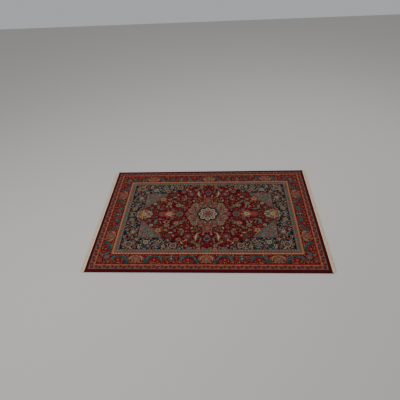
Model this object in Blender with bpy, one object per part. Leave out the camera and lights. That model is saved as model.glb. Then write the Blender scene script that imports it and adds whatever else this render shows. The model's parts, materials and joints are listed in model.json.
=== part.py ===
"""An area rug: a woven ground with a knotted pile, overcast sides, flat-woven ends and tasselled fringes.

Metres, +Z up. The origin lies on the floor under the rug's centre. +X runs along the rug's length, from
the left fringe to the right one, and +Y runs across its width, from the front side to the back side.
The pile is one slab for each zone of the design, because each zone is knotted in yarns of its own.
Each fringe is four groups of tassels, and each group turns up on its own hinge at the end of the rug.
"""

import math

import bmesh
import bpy
from mathutils import Matrix, Vector

# Driving dimensions of the whole rug
PILE_LENGTH = 2.61
RUG_WIDTH = 1.80
RUG_HEIGHT = 0.010
FRINGE_REACH = 0.045
GAP = 0.0003

# The ground cloth and the flat-woven ends
GROUND_THICKNESS = 0.003
END_BAND_WIDTH = 0.010
STITCH_DIAMETER = 0.0024
STITCH_INSET = 0.0025

# The overcast sides: a sleeve of wrapped yarn round a core cord
SIDE_DIAMETER = 0.008
SLEEVE_WALL = 0.0016
ROUND_SIDES = 12

# Widths of the design's frames, from the edge of the pile inwards
OUTER_GUARD_WIDTH = 0.100
MAIN_BORDER_WIDTH = 0.137
INNER_GUARD_WIDTH = 0.085

# The fringe
HINGE_OFFSET = 0.0025
HINGE_HEIGHT = GROUND_THICKNESS
TASSEL_THICKNESS = 0.003
TASSEL_GROUPS = 4
TASSELS_PER_GROUP = 30
TASSEL_SPAN = 1.772
KNOT_ROW_START = 0.0015
KNOT_ROW_WIDTH = 0.005
TASSEL_ROOT_WIDTH = 0.0050
TASSEL_TIP_WIDTH = 0.0092

# A round bar is made along Z, and a turn of half a facet puts a flat face underneath it
HALF_FACET = math.pi / ROUND_SIDES
FLAT_SHARE = math.cos(HALF_FACET)
BAR_ALONG_X = (0.0, math.pi / 2, 0.0)
BAR_ALONG_Y = (math.pi / 2, 0.0, 0.0)

# Worked out from the dimensions above
HALF_LENGTH = PILE_LENGTH / 2
HALF_WIDTH = RUG_WIDTH / 2
PILE_HALF_WIDTH = HALF_WIDTH - SIDE_DIAMETER - GAP
PILE_BOTTOM = GROUND_THICKNESS + GAP
BAND_END = HALF_LENGTH + END_BAND_WIDTH
HINGE_X = BAND_END + HINGE_OFFSET
FRINGE_END = HALF_LENGTH + FRINGE_REACH

# Outline of one quarter of the red medallion ground, from the long side of the field to its tip.
# Each point is (share of the field's half length, share of its half width).
MEDALLION_QUARTER = [
    (0.267, 1.00),
    (0.366, 0.79),
    (0.448, 0.745),
    (0.540, 0.70),
    (0.560, 0.61),
    (0.630, 0.54),
    (0.645, 0.43),
    (0.692, 0.41),
    (0.732, 0.34),
    (0.783, 0.23),
    (0.834, 0.19),
    (0.875, 0.135),
    (0.912, 0.07),
    (0.936, 0.00),
]
SPANDREL_START = 3
SPANDREL_END = 10
SPANDREL_SIDE = 0.834

COLOURS = {
    "ground_cotton": (0.30, 0.24, 0.18),
    "wool_medallion_red": (0.10, 0.008, 0.008),
    "wool_spandrel_grey": (0.09, 0.09, 0.08),
    "wool_corner_navy": (0.010, 0.012, 0.020),
    "wool_guard_blue": (0.07, 0.10, 0.10),
    "wool_border_red": (0.12, 0.015, 0.010),
    "wool_outer_maroon": (0.05, 0.005, 0.006),
    "core_cotton": (0.45, 0.40, 0.32),
    "overcast_wool": (0.045, 0.005, 0.006),
    "fringe_cotton": (0.50, 0.44, 0.36),
}
QUARTERS = {
    "front_left": (-1, -1),
    "front_right": (1, -1),
    "back_left": (-1, 1),
    "back_right": (1, 1),
}
ENDS = {"left": -1, "right": 1}
SIDES = {"front": -1, "back": 1}


def clear_scene():
    for obj in list(bpy.data.objects):
        bpy.data.objects.remove(obj)


def make_materials():
    made = {}
    for name, colour in COLOURS.items():
        material = bpy.data.materials.new(name)
        material.use_nodes = True
        shader = material.node_tree.nodes["Principled BSDF"]
        shader.inputs["Base Color"].default_value = (*colour, 1.0)
        shader.inputs["Roughness"].default_value = 0.9
        shader.inputs["Metallic"].default_value = 0.0
        made[name] = material
    return made


def add_object(name, mesh, material, parent=None):
    obj = bpy.data.objects.new(name, mesh)
    bpy.context.scene.collection.objects.link(obj)
    obj.data.materials.append(material)
    obj.parent = parent
    return obj


def signed_area(points):
    following = points[1:] + points[:1]
    return sum(a[0] * b[1] - b[0] * a[1] for a, b in zip(points, following)) / 2


def inset(points, distance):
    """The outline moved inwards by distance, each corner along its mitre. Points run anticlockwise."""
    moved = []
    for i, here in enumerate(points):
        here = Vector(here)
        before = (here - Vector(points[i - 1])).normalized()
        after = (Vector(points[(i + 1) % len(points)]) - here).normalized()
        normal_before = Vector((-before.y, before.x))
        normal_after = Vector((-after.y, after.x))
        mitre = (normal_before + normal_after).normalized()
        moved.append(here + mitre * (distance / mitre.dot(normal_after)))
    return moved


def slab(name, outline, bottom, top, material, parent=None, origin=(0.0, 0.0, 0.0)):
    """A flat closed solid over an outline in X and Y. Its own origin is placed at origin."""
    points = outline if signed_area(outline) > 0 else outline[::-1]
    bm = bmesh.new()
    corners = [bm.verts.new((p[0] - origin[0], p[1] - origin[1], bottom - origin[2])) for p in points]
    floor_face = bm.faces.new(corners)
    raised = bmesh.ops.extrude_face_region(bm, geom=[floor_face])
    lifted = [g for g in raised["geom"] if isinstance(g, bmesh.types.BMVert)]
    bmesh.ops.translate(bm, verts=lifted, vec=(0.0, 0.0, top - bottom))
    bmesh.ops.triangulate(bm, faces=[f for f in bm.faces if len(f.verts) > 4])
    bmesh.ops.recalc_face_normals(bm, faces=bm.faces)
    mesh = bpy.data.meshes.new(name)
    bm.to_mesh(mesh)
    bm.free()
    obj = add_object(name, mesh, material, parent)
    obj.location = origin
    return obj


def rectangle(x_low, x_high, y_low, y_high):
    return [(x_low, y_low), (x_high, y_low), (x_high, y_high), (x_low, y_high)]


def pile_slab(name, outline, material):
    """One zone of the pile, kept clear of its neighbours by half a gap on each side."""
    points = outline if signed_area(outline) > 0 else outline[::-1]
    return slab(name, inset(points, GAP / 2), PILE_BOTTOM, RUG_HEIGHT, material)


def frame_strips(zone, outer, inner, material):
    """The four mitred strips of one frame of the design, between two half sizes."""
    for side, sign in SIDES.items():
        strip = [
            (-outer[0], sign * outer[1]),
            (outer[0], sign * outer[1]),
            (inner[0], sign * inner[1]),
            (-inner[0], sign * inner[1]),
        ]
        pile_slab(f"pile_{zone}_{side}", strip, material)
    for end, sign in ENDS.items():
        strip = [
            (sign * outer[0], -outer[1]),
            (sign * outer[0], outer[1]),
            (sign * inner[0], inner[1]),
            (sign * inner[0], -inner[1]),
        ]
        pile_slab(f"pile_{zone}_{end}", strip, material)


def half_sizes(distance):
    """Half sizes of the rectangle that lies this far inside the edge of the rug."""
    return HALF_LENGTH - distance, HALF_WIDTH - distance


def make_frames(materials):
    guard_inner = half_sizes(OUTER_GUARD_WIDTH)
    border_inner = half_sizes(OUTER_GUARD_WIDTH + MAIN_BORDER_WIDTH)
    field = half_sizes(OUTER_GUARD_WIDTH + MAIN_BORDER_WIDTH + INNER_GUARD_WIDTH)
    edge = (HALF_LENGTH, PILE_HALF_WIDTH)
    frame_strips("outer_guard", edge, guard_inner, materials["wool_outer_maroon"])
    frame_strips("main_border", guard_inner, border_inner, materials["wool_border_red"])
    frame_strips("inner_guard", border_inner, field, materials["wool_guard_blue"])
    return field


def make_field(field, materials):
    quarter = [(x * field[0], y * field[1]) for x, y in MEDALLION_QUARTER]
    right_half = [(x, -y) for x, y in quarter[:-1]] + quarter[::-1]
    medallion = right_half + [(-x, -y) for x, y in right_half]
    pile_slab("pile_medallion", medallion, materials["wool_medallion_red"])

    side_x = SPANDREL_SIDE * field[0]
    shared_edge = quarter[SPANDREL_START : SPANDREL_END + 1]
    spandrel_corner = (side_x, shared_edge[0][1])
    spandrel = shared_edge + [spandrel_corner]
    corner = (
        quarter[: SPANDREL_START + 1]
        + [spandrel_corner]
        + quarter[SPANDREL_END:]
        + [(field[0], 0.0), field]
    )
    for place, (sx, sy) in QUARTERS.items():
        turned_spandrel = [(sx * x, sy * y) for x, y in spandrel]
        turned_corner = [(sx * x, sy * y) for x, y in corner]
        pile_slab(f"pile_spandrel_{place}", turned_spandrel, materials["wool_spandrel_grey"])
        pile_slab(f"pile_corner_{place}", turned_corner, materials["wool_corner_navy"])


def make_ground(materials):
    outline = rectangle(-HALF_LENGTH, HALF_LENGTH, -PILE_HALF_WIDTH, PILE_HALF_WIDTH)
    slab("ground_cloth", outline, 0.0, GROUND_THICKNESS, materials["ground_cotton"])
    for end, sign in ENDS.items():
        near = sign * (HALF_LENGTH + GAP)
        far = sign * BAND_END
        band = rectangle(min(near, far), max(near, far), -PILE_HALF_WIDTH, PILE_HALF_WIDTH)
        slab(f"end_band_{end}", band, 0.0, GROUND_THICKNESS, materials["fringe_cotton"])


def round_bar(name, radius, length, material, hole=0.0):
    """A round bar along its own Z axis, centred on its origin, with a hole through it if hole is set."""
    bm = bmesh.new()
    rings = []
    for ring_radius in filter(None, (radius, hole)):
        made = bmesh.ops.create_circle(bm, segments=ROUND_SIDES, radius=ring_radius)
        rings.append(made["verts"])
    if hole:
        edges = [e for e in bm.edges]
        made = bmesh.ops.bridge_loops(bm, edges=edges)
        cap = made["faces"]
    else:
        cap = [bm.faces.new(rings[0])]
    raised = bmesh.ops.extrude_face_region(bm, geom=cap)
    lifted = [g for g in raised["geom"] if isinstance(g, bmesh.types.BMVert)]
    bmesh.ops.translate(bm, verts=lifted, vec=(0.0, 0.0, length))
    bmesh.ops.translate(bm, verts=bm.verts, vec=(0.0, 0.0, -length / 2))
    bmesh.ops.rotate(bm, verts=bm.verts, matrix=Matrix.Rotation(HALF_FACET, 3, "Z"))
    bmesh.ops.recalc_face_normals(bm, faces=bm.faces)
    mesh = bpy.data.meshes.new(name)
    bm.to_mesh(mesh)
    bm.free()
    mesh.shade_smooth()
    mesh.set_sharp_from_angle(angle=0.9)
    return add_object(name, mesh, material)


def make_sides(materials):
    radius = SIDE_DIAMETER / 2
    hole = radius - SLEEVE_WALL
    corner_radius = radius / FLAT_SHARE
    for side, sign in SIDES.items():
        place = (0.0, sign * (HALF_WIDTH - radius), radius)
        sleeve_name = f"side_overcast_{side}"
        sleeve = round_bar(
            sleeve_name, corner_radius, 2 * BAND_END, materials["overcast_wool"], hole
        )
        core_name = f"side_cord_{side}"
        core = round_bar(core_name, hole - 2 * GAP, 2 * BAND_END, materials["core_cotton"])
        for bar in (sleeve, core):
            bar.rotation_euler = BAR_ALONG_X
            bar.location = place


def make_stitches(materials):
    """The row of locking stitches that holds the last rows of knots, a cord across each end band."""
    radius = STITCH_DIAMETER / 2
    for end, sign in ENDS.items():
        name = f"end_stitch_{end}"
        bar = round_bar(name, radius, 2 * PILE_HALF_WIDTH, materials["fringe_cotton"])
        bar.rotation_euler = BAR_ALONG_Y
        bar.location = (sign * (HALF_LENGTH + STITCH_INSET), 0.0, GROUND_THICKNESS + GAP + radius)


def tassel_group(first_y):
    """Outline of one group: a row of knots with tassels that widen towards their tips, in (reach, y)."""
    pitch = TASSEL_SPAN / (TASSEL_GROUPS * TASSELS_PER_GROUP)
    row_start = KNOT_ROW_START
    row_end = KNOT_ROW_START + KNOT_ROW_WIDTH
    reach = FRINGE_END - HINGE_X
    last_y = first_y + (TASSELS_PER_GROUP - 1) * pitch
    outline = [
        (row_start, last_y + TASSEL_ROOT_WIDTH / 2),
        (row_start, first_y - TASSEL_ROOT_WIDTH / 2),
    ]
    for i in range(TASSELS_PER_GROUP):
        middle = first_y + i * pitch
        outline += [
            (row_end, middle - TASSEL_ROOT_WIDTH / 2),
            (reach, middle - TASSEL_TIP_WIDTH / 2),
            (reach, middle + TASSEL_TIP_WIDTH / 2),
            (row_end, middle + TASSEL_ROOT_WIDTH / 2),
        ]
    return outline


def make_fringes(materials):
    group_span = TASSEL_SPAN / TASSEL_GROUPS
    pitch = group_span / TASSELS_PER_GROUP
    for end, sign in ENDS.items():
        for number in range(TASSEL_GROUPS):
            start = -TASSEL_SPAN / 2 + number * group_span + pitch / 2
            hinge = bpy.data.objects.new(f"hinge_{end}_{number + 1}", None)
            bpy.context.scene.collection.objects.link(hinge)
            hinge.location = (sign * HINGE_X, start + (group_span - pitch) / 2, HINGE_HEIGHT)
            outline = [(sign * x, y - hinge.location.y) for x, y in tassel_group(start)]
            name = f"fringe_{end}_{number + 1}"
            low = -HINGE_HEIGHT
            high = TASSEL_THICKNESS - HINGE_HEIGHT
            slab(name, outline, low, high, materials["fringe_cotton"], parent=hinge)


def main():
    clear_scene()
    materials = make_materials()
    make_ground(materials)
    field = make_frames(materials)
    make_field(field, materials)
    make_sides(materials)
    make_stitches(materials)
    make_fringes(materials)


main()
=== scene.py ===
"""Looks of the area rug: its knotted pile with the woven design, overcast sides, flat ends and fringes.

Everything is in metres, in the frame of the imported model: +X along the rug, +Y across it, +Z up.
"""

import json
import math

import bpy
import numpy as np
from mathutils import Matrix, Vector


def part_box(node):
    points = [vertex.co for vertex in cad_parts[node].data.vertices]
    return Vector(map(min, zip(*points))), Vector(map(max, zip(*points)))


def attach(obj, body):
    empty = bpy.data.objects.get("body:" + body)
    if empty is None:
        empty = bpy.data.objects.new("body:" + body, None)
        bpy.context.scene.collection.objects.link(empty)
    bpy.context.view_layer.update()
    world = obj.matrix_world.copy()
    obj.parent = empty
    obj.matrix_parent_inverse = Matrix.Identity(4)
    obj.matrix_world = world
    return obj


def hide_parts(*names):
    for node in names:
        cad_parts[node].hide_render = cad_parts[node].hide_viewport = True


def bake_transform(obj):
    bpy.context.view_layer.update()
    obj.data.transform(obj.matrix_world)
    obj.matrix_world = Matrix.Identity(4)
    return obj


# The length and width of a knot
KNOT = 0.003

# The dyed yarns, as linear colours
WOOL = {
    "deep_red": (0.092, 0.0012, 0.0050),
    "edge_red": (0.072, 0.0018, 0.0030),
    "maroon": (0.032, 0.0030, 0.0040),
    "bright_red": (0.210, 0.0090, 0.0090),
    "brick": (0.115, 0.0160, 0.0130),
    "rust": (0.175, 0.0500, 0.0260),
    "orange": (0.390, 0.1380, 0.0720),
    "tan": (0.205, 0.1350, 0.0780),
    "gold": (0.240, 0.1350, 0.0420),
    "cream": (0.290, 0.2400, 0.1550),
    "pink": (0.240, 0.0900, 0.0720),
    "rose": (0.180, 0.0280, 0.0320),
    "mauve": (0.088, 0.0380, 0.0350),
    "olive": (0.075, 0.0550, 0.0230),
    "teal": (0.002, 0.0880, 0.0860),
    "sea_green": (0.040, 0.1250, 0.0850),
    "sky": (0.090, 0.1400, 0.1600),
    "slate": (0.009, 0.0460, 0.0560),
    "grey_teal": (0.095, 0.0980, 0.0800),
    "grey": (0.110, 0.0900, 0.0720),
    "navy": (0.005, 0.0060, 0.0110),
    "brown": (0.034, 0.0150, 0.0110),
}


class Chart:
    """The knotting chart of one quarter of the rug, one yarn colour for each knot.

    The rug is the same mirrored about both of its middle lines, so the chart covers x and y from 0
    up to the edge of the pile, and the other three quarters mirror it.
    """

    whole = (slice(None), slice(None))

    def __init__(self, half_length, half_width):
        self.columns = round(half_length / KNOT)
        self.rows = round(half_width / KNOT)
        self.x = (np.arange(self.columns) + 0.5) * half_length / self.columns
        self.y = (np.arange(self.rows) + 0.5) * half_width / self.rows
        self.half = (half_length, half_width)
        self.colour = np.zeros((self.rows, self.columns, 3))

    def near(self, x, y, reach):
        """The knots within reach of a point, as a window of the chart, with their offsets from it."""
        columns = slice(*np.searchsorted(self.x, (x - reach, x + reach)))
        rows = slice(*np.searchsorted(self.y, (y - reach, y + reach)))
        dx, dy = np.meshgrid(self.x[columns] - x, self.y[rows] - y)
        return (rows, columns), dx, dy

    def put(self, window, mask, wool):
        self.colour[window][mask] = WOOL[wool]

    def holds(self, mask, x, y):
        """Whether the knot at a point is one of the masked ones."""
        column, row = int(x / self.half[0] * self.columns), int(y / self.half[1] * self.rows)
        return 0 <= column < self.columns and 0 <= row < self.rows and bool(mask[row, column])


def rosette(chart, x, y, radius, layers, lobes=8, turn=0.0, depth=0.14):
    """A round flower of lobed rings. layers lists (share of the radius, yarn), the widest first."""
    window, dx, dy = chart.near(x, y, radius * 1.05)
    distance = np.hypot(dx, dy)
    lobing = np.abs(np.cos(lobes / 2 * (np.arctan2(dy, dx) - turn)))
    for share, wool in layers:
        edge = 1 - depth * (1 - lobing) * (share > 0.45)
        chart.put(window, distance <= radius * share * edge, wool)


def flower(chart, x, y, radius, petals, heart, outline="brown", lobes=7):
    """A rosette with an outline, petals parted by dark seams, a dark ring and a heart."""
    window, dx, dy = chart.near(x, y, radius)
    distance = np.hypot(dx, dy)
    petal_turn = lobes / 2 * np.arctan2(dy, dx)
    edge = radius * (1 - 0.15 * (1 - np.abs(np.cos(petal_turn))))
    chart.put(window, distance <= edge, outline)
    chart.put(window, distance <= edge - 0.0032, petals)
    seam = np.abs(np.cos(petal_turn)) * distance * 2 / lobes < 0.0013
    if radius > 0.018:
        chart.put(window, seam & (distance <= edge - 0.0032), outline)
    if radius > 0.024:
        chart.put(window, distance <= radius * 0.52, outline)
    chart.put(window, distance <= radius * 0.40, heart)
    if radius > 0.030:
        chart.put(window, distance <= radius * 0.14, petals)


def palmette(chart, x, y, radius, layers, turn=math.pi / 2, teeth=7, slim=0.85, seams=None):
    """A fan-shaped flower that opens towards turn, with a serrated edge and seams between its petals."""
    window, dx, dy = chart.near(x, y, radius * 1.3)
    along = (dx * math.cos(turn) + dy * math.sin(turn)) / radius
    across = (-dx * math.sin(turn) + dy * math.cos(turn)) / (radius * slim)
    swell = np.maximum(1 + 0.35 * along, 0.3)
    angle = np.arctan2(across, along + 0.9)
    serration = 1 + 0.10 * np.cos(teeth * 2 * angle) * (along > -0.4)
    size = np.hypot(along, across / swell) / serration
    for share, wool in layers:
        chart.put(window, size <= share, wool)
    if seams:
        between = np.cos(teeth * 2 * angle) < -0.6
        chart.put(window, between & (size > 0.52) & (size < 0.94), seams)


def leaf(chart, start, end, width, layers, bend=0.0, ragged=0.0):
    """A pointed leaf between two points. bend moves its middle sideways, as a share of its length."""
    (x0, y0), (x1, y1) = start, end
    length = math.hypot(x1 - x0, y1 - y0)
    reach = length / 2 + width + abs(bend) * length
    window, dx, dy = chart.near((x0 + x1) / 2, (y0 + y1) / 2, reach)
    ux, uy = (x1 - x0) / length, (y1 - y0) / length
    t = (dx * ux + dy * uy) / length + 0.5
    swelling = 4 * np.clip(t * (1 - t), 0, None)
    sideways = -dx * uy + dy * ux - bend * length * swelling
    swelling = swelling * (1 + ragged * np.cos(10 * math.pi * t))
    for share, wool in layers:
        chart.put(window, np.abs(sideways) < width * share * swelling, wool)


def stroke(chart, points, width, wool):
    """A line of even width through points."""
    for (x0, y0), (x1, y1) in zip(points[:-1], points[1:]):
        length = max(math.hypot(x1 - x0, y1 - y0), 1e-6)
        window, dx, dy = chart.near((x0 + x1) / 2, (y0 + y1) / 2, length / 2 + width)
        ux, uy = (x1 - x0) / length, (y1 - y0) / length
        along = np.clip(dx * ux + dy * uy, -length / 2, length / 2)
        off = np.hypot(dx - along * ux, dy - along * uy)
        chart.put(window, off <= width / 2, wool)


def spiral(chart, x, y, radius, start, turns, width, wool):
    """A tendril that winds inwards from a point on a circle."""
    shares = np.linspace(0, 1, max(int(14 * abs(turns)), 4) + 1)
    angles = start + shares * turns * math.tau
    radii = radius * (1 - 0.75 * shares)
    stroke(chart, list(zip(x + radii * np.cos(angles), y + radii * np.sin(angles))), width, wool)


def scatter(chart, mask, spacing, kinds, seed, size, fill=0.9, outline=None):
    """Small flowers and slanting leaves strewn over a masked part of the chart, on a jittered grid."""
    draw = np.random.default_rng(seed)
    for y in np.arange(spacing / 2, chart.half[1], spacing):
        for x in np.arange(spacing / 2, chart.half[0], spacing):
            px, py = x + draw.uniform(-0.42, 0.42) * spacing, y + draw.uniform(-0.42, 0.42) * spacing
            petals, heart = kinds[draw.integers(len(kinds))]
            radius, slant, chance = draw.uniform(*size), draw.uniform(0, math.pi), draw.random()
            if chance > fill or not chart.holds(mask, px, py):
                continue
            if chance < fill * 0.4:
                reach = (radius * 1.7 * math.cos(slant), radius * 1.7 * math.sin(slant))
                leaf(chart, (px - reach[0], py - reach[1]), (px + reach[0], py + reach[1]), radius * 0.75,
                     [(1.0, petals), (0.35, heart)], bend=0.1)
                continue
            if outline:
                rosette(chart, px, py, radius + 0.003, [(1.0, outline)], lobes=4)
            rosette(chart, px, py, radius, [(1.0, petals), (0.45, heart)], lobes=5, depth=0.3)


def put_flowers(chart, flowers, outline="brown", lobes=7):
    for x, y, radius, petals, heart in flowers:
        flower(chart, x, y, radius, petals, heart, outline, lobes)


def put_leaves(chart, leaves, outline="brown"):
    """Leaves as (start, end, width, yarn, yarn of the vein, bend), each with an outline."""
    for start, end, width, wool, vein, bend in leaves:
        layers = [(1 + 0.0035 / width, outline), (1.0, wool), (0.35, vein)]
        leaf(chart, start, end, width, layers, bend)


# Distances of the frames from the edge of the pile
EDGE_LINE = 0.031
GUARD_START = 0.043
GUARD_END = 0.083
RED_LINE = 0.097
BORDER_START = 0.106
BORDER_END = 0.237
BAND_END = 0.266
INNER_GUARD_END = 0.312
FIELD_START = 0.322
BORDER_MIDDLE = (BORDER_START + BORDER_END) / 2
INNER_GUARD_MIDDLE = 0.285

# Places of the main border's motifs along each side. A scroll's number is the way its long end points.
LONG_MOTIFS = [
    (0.000, "palmette"),
    (0.200, "scroll", -1),
    (0.385, "bud"),
    (0.570, "scroll", 1),
    (0.775, "palmette"),
    (0.970, "scroll", -1),
]
SHORT_MOTIFS = [
    (0.000, "bud"),
    (0.170, "scroll", 1),
    (0.375, "palmette"),
    (0.575, "scroll", -1),
]


class Side:
    """Places on one side of a frame: along runs from the side's middle, out runs towards the edge."""

    def __init__(self, chart, long, inset):
        self.long = long
        self.length = chart.half[0 if long else 1] - inset
        self.base = chart.half[1 if long else 0] - inset
        self.outward = math.pi / 2 if long else 0.0
        self.hand = 1 if long else -1

    def at(self, along, out=0.0):
        return (along, self.base + out) if self.long else (self.base + out, along)

    def line(self, points):
        return [self.at(*point) for point in points]


def paint_frames(chart):
    """The plain edge, the grounds of the guards and borders, and the lines between them."""
    window = chart.whole
    x, y = np.meshgrid(chart.x, chart.y)
    from_end = chart.half[0] - x
    from_side = chart.half[1] - y
    inset = np.minimum(from_end, from_side)
    along = np.where(from_side < from_end, x, y)
    bands = [
        (0.0, "edge_red"),
        (EDGE_LINE, "mauve"),
        (GUARD_START, "brick"),
        (GUARD_END, "rust"),
        (RED_LINE, "bright_red"),
        (BORDER_START, "deep_red"),
        (BORDER_END, "orange"),
        (BAND_END, "grey_teal"),
        (INNER_GUARD_END, "maroon"),
        (FIELD_START, "deep_red"),
    ]
    for start, wool in bands:
        chart.put(window, inset >= start, wool)

    def repeat(pitch, low, high, start=0.0, share=1.0):
        """Knots between two insets whose place along the side is in the first share of each pitch."""
        phase = np.mod(along / pitch + start, 1.0)
        return (inset >= low) & (inset < high) & (phase < share)

    chart.put(window, (inset > 0.025) & (inset < EDGE_LINE), "maroon")
    chart.put(window, repeat(0.024, EDGE_LINE + 0.003, GUARD_START - 0.003, share=0.6), "grey_teal")
    chart.put(window, repeat(0.024, EDGE_LINE + 0.003, GUARD_START - 0.003, 0.6, 0.25), "sea_green")
    chart.put(window, repeat(0.012, GUARD_END + 0.003, RED_LINE - 0.003, share=0.5), "orange")
    chart.put(window, repeat(0.012, GUARD_END + 0.003, RED_LINE - 0.003, 0.5, 0.25), "tan")
    middle = (BORDER_END + BAND_END) / 2
    chart.put(window, repeat(0.018, BORDER_END, BAND_END, share=0.5), "rust")
    chart.put(window, repeat(0.018, middle - 0.009, middle + 0.006, 0.25, 0.5), "gold")
    chart.put(window, repeat(0.036, middle - 0.004, middle + 0.004, 0.1, 0.4), "cream")
    chart.put(window, repeat(0.018, middle + 0.008, BAND_END, 0.7, 0.3), "rose")
    for line in (BORDER_END, BAND_END - 0.003):
        chart.put(window, (inset >= line) & (inset < line + 0.003), "brick")
    chart.put(window, (inset >= INNER_GUARD_END - 0.009) & (inset < INNER_GUARD_END - 0.003), "mauve")
    return inset


def paint_outer_guard(chart):
    """Slanting leaves and small flowers in turn along the outer guard, between two broken lines."""
    pitch = 0.0900
    for side in [Side(chart, long, (GUARD_START + GUARD_END) / 2) for long in (True, False)]:
        for number, along in enumerate(np.arange(0, side.length, pitch / 2)):
            lean = 0.011 * side.hand
            if number % 2:
                leaf(chart, side.at(along - lean, -0.014), side.at(along + lean, 0.014), 0.0120,
                     [(1.0, "maroon"), (0.66, "rose"), (0.30, "tan")], bend=0.12)
            else:
                rosette(chart, *side.at(along), 0.0150,
                        [(1.0, "maroon"), (0.80, "mauve"), (0.42, "grey_teal")], lobes=5)
        for out, start in ((0.017, 0.0), (-0.017, 0.5)):
            for along in np.arange(start * pitch, side.length, pitch):
                line = side.line([(along, out), (along + pitch * 0.55, out)])
                stroke(chart, line, 0.006, "pink" if out > 0 else "tan")


def paint_inner_guard(chart):
    """Flowers of two kinds in turn, with upright buds between them, on the guard round the field."""
    pitch = 0.0640
    for side in [Side(chart, long, INNER_GUARD_MIDDLE) for long in (True, False)]:
        for number, along in enumerate(np.arange(pitch / 2, side.length, pitch / 2)):
            if number % 2:
                leaf(chart, side.at(along, -0.017), side.at(along, 0.017), 0.010,
                     [(1.0, "maroon"), (0.6, "rose"), (0.2, "tan")])
            elif number % 4:
                flower(chart, *side.at(along), 0.0170, "pink", "rose", "maroon", lobes=5)
            else:
                flower(chart, *side.at(along), 0.0180, "sea_green", "teal", "brown", lobes=5)
            rosette(chart, *side.at(along + pitch / 4, -0.014), 0.005, [(1.0, "cream")])


def border_palmette(chart, side, along):
    """The large palmette of the main border, pink and tan, with sprays at both sides."""
    for sign in (-1, 1):
        bend = -sign * side.hand * 0.22
        for reach, wool, vein in ((0.088, "rust", "tan"), (0.066, "tan", "orange")):
            leaf(chart, side.at(along + sign * 0.014, -0.052), side.at(along + sign * reach, 0.034), 0.011,
                 [(1.0, "maroon"), (0.72, wool), (0.28, vein)], bend)
        rosette(chart, *side.at(along + sign * 0.052, 0.046), 0.010, [(1.0, "maroon"), (0.7, "orange")])
    layers = [(1.10, "maroon"), (1.02, "tan"), (0.92, "brick"), (0.84, "pink"), (0.66, "bright_red"),
              (0.54, "orange"), (0.46, "maroon"), (0.38, "sea_green"), (0.24, "tan"), (0.12, "bright_red")]
    palmette(chart, *side.at(along, -0.004), 0.055, layers, side.outward, seams="brick")


def border_scroll(chart, side, along, way):
    """A teal scroll, open towards the edge, that holds a red flower. Its long end points way."""
    for start, end, width, wool, vein in [
        ((0.108, 0.064), (0.066, -0.010), 0.0190, "slate", "teal"),
        ((-0.034, -0.040), (-0.082, 0.020), 0.0170, "teal", "grey_teal"),
        ((0.074, -0.010), (0.024, -0.046), 0.0150, "teal", "olive"),
        ((0.034, -0.036), (-0.030, -0.034), 0.0120, "slate", "olive"),
    ]:
        line = side.line([(along + way * start[0], start[1]), (along + way * end[0], end[1])])
        layers = [(1.30, "maroon"), (1.0, wool), (0.20, vein)]
        leaf(chart, *line, width, layers, bend=0.13 * way * side.hand, ragged=0.3)
    for place, out, radius, petals, heart in [
        (0.078, 0.002, 0.015, "sky", "navy"), (0.050, -0.048, 0.011, "pink", "cream"),
        (-0.050, -0.048, 0.010, "bright_red", "tan"), (-0.082, 0.026, 0.012, "grey", "rose"),
        (0.052, 0.034, 0.014, "maroon", "tan"), (-0.040, 0.034, 0.013, "rust", "gold"),
        (0.118, -0.020, 0.012, "bright_red", "orange"), (0.090, -0.050, 0.010, "grey", "cream"),
    ]:
        flower(chart, *side.at(along + way * place, out), radius, petals, heart, "maroon", lobes=5)
    flower(chart, *side.at(along, 0.012), 0.034, "bright_red", "rust", "maroon", lobes=8)
    rosette(chart, *side.at(along, 0.012), 0.007, [(1.0, "tan")])
    rosette(chart, *side.at(along + way * 0.006, 0.050), 0.010, [(1.0, "maroon"), (0.7, "orange")])


def border_bud(chart, side, along):
    """The small upright palmette between two scrolls."""
    for sign in (-1, 1):
        leaf(chart, side.at(along + sign * 0.018, -0.050), side.at(along + sign * 0.058, 0.026), 0.009,
             [(1.0, "maroon"), (0.6, "rose"), (0.2, "tan")], bend=-sign * side.hand * 0.18)
        rosette(chart, *side.at(along + sign * 0.030, 0.044), 0.010, [(1.0, "maroon"), (0.7, "orange")])
    layers = [(1.12, "brown"), (1.0, "grey"), (0.82, "maroon"), (0.62, "mauve"), (0.48, "grey_teal"),
              (0.34, "navy"), (0.22, "cream")]
    palmette(chart, *side.at(along, -0.006), 0.046, layers, side.outward + math.pi, teeth=5, slim=0.62)
    rosette(chart, *side.at(along, -0.040), 0.013, [(1.0, "brown"), (0.8, "sea_green"), (0.4, "cream")])


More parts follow.
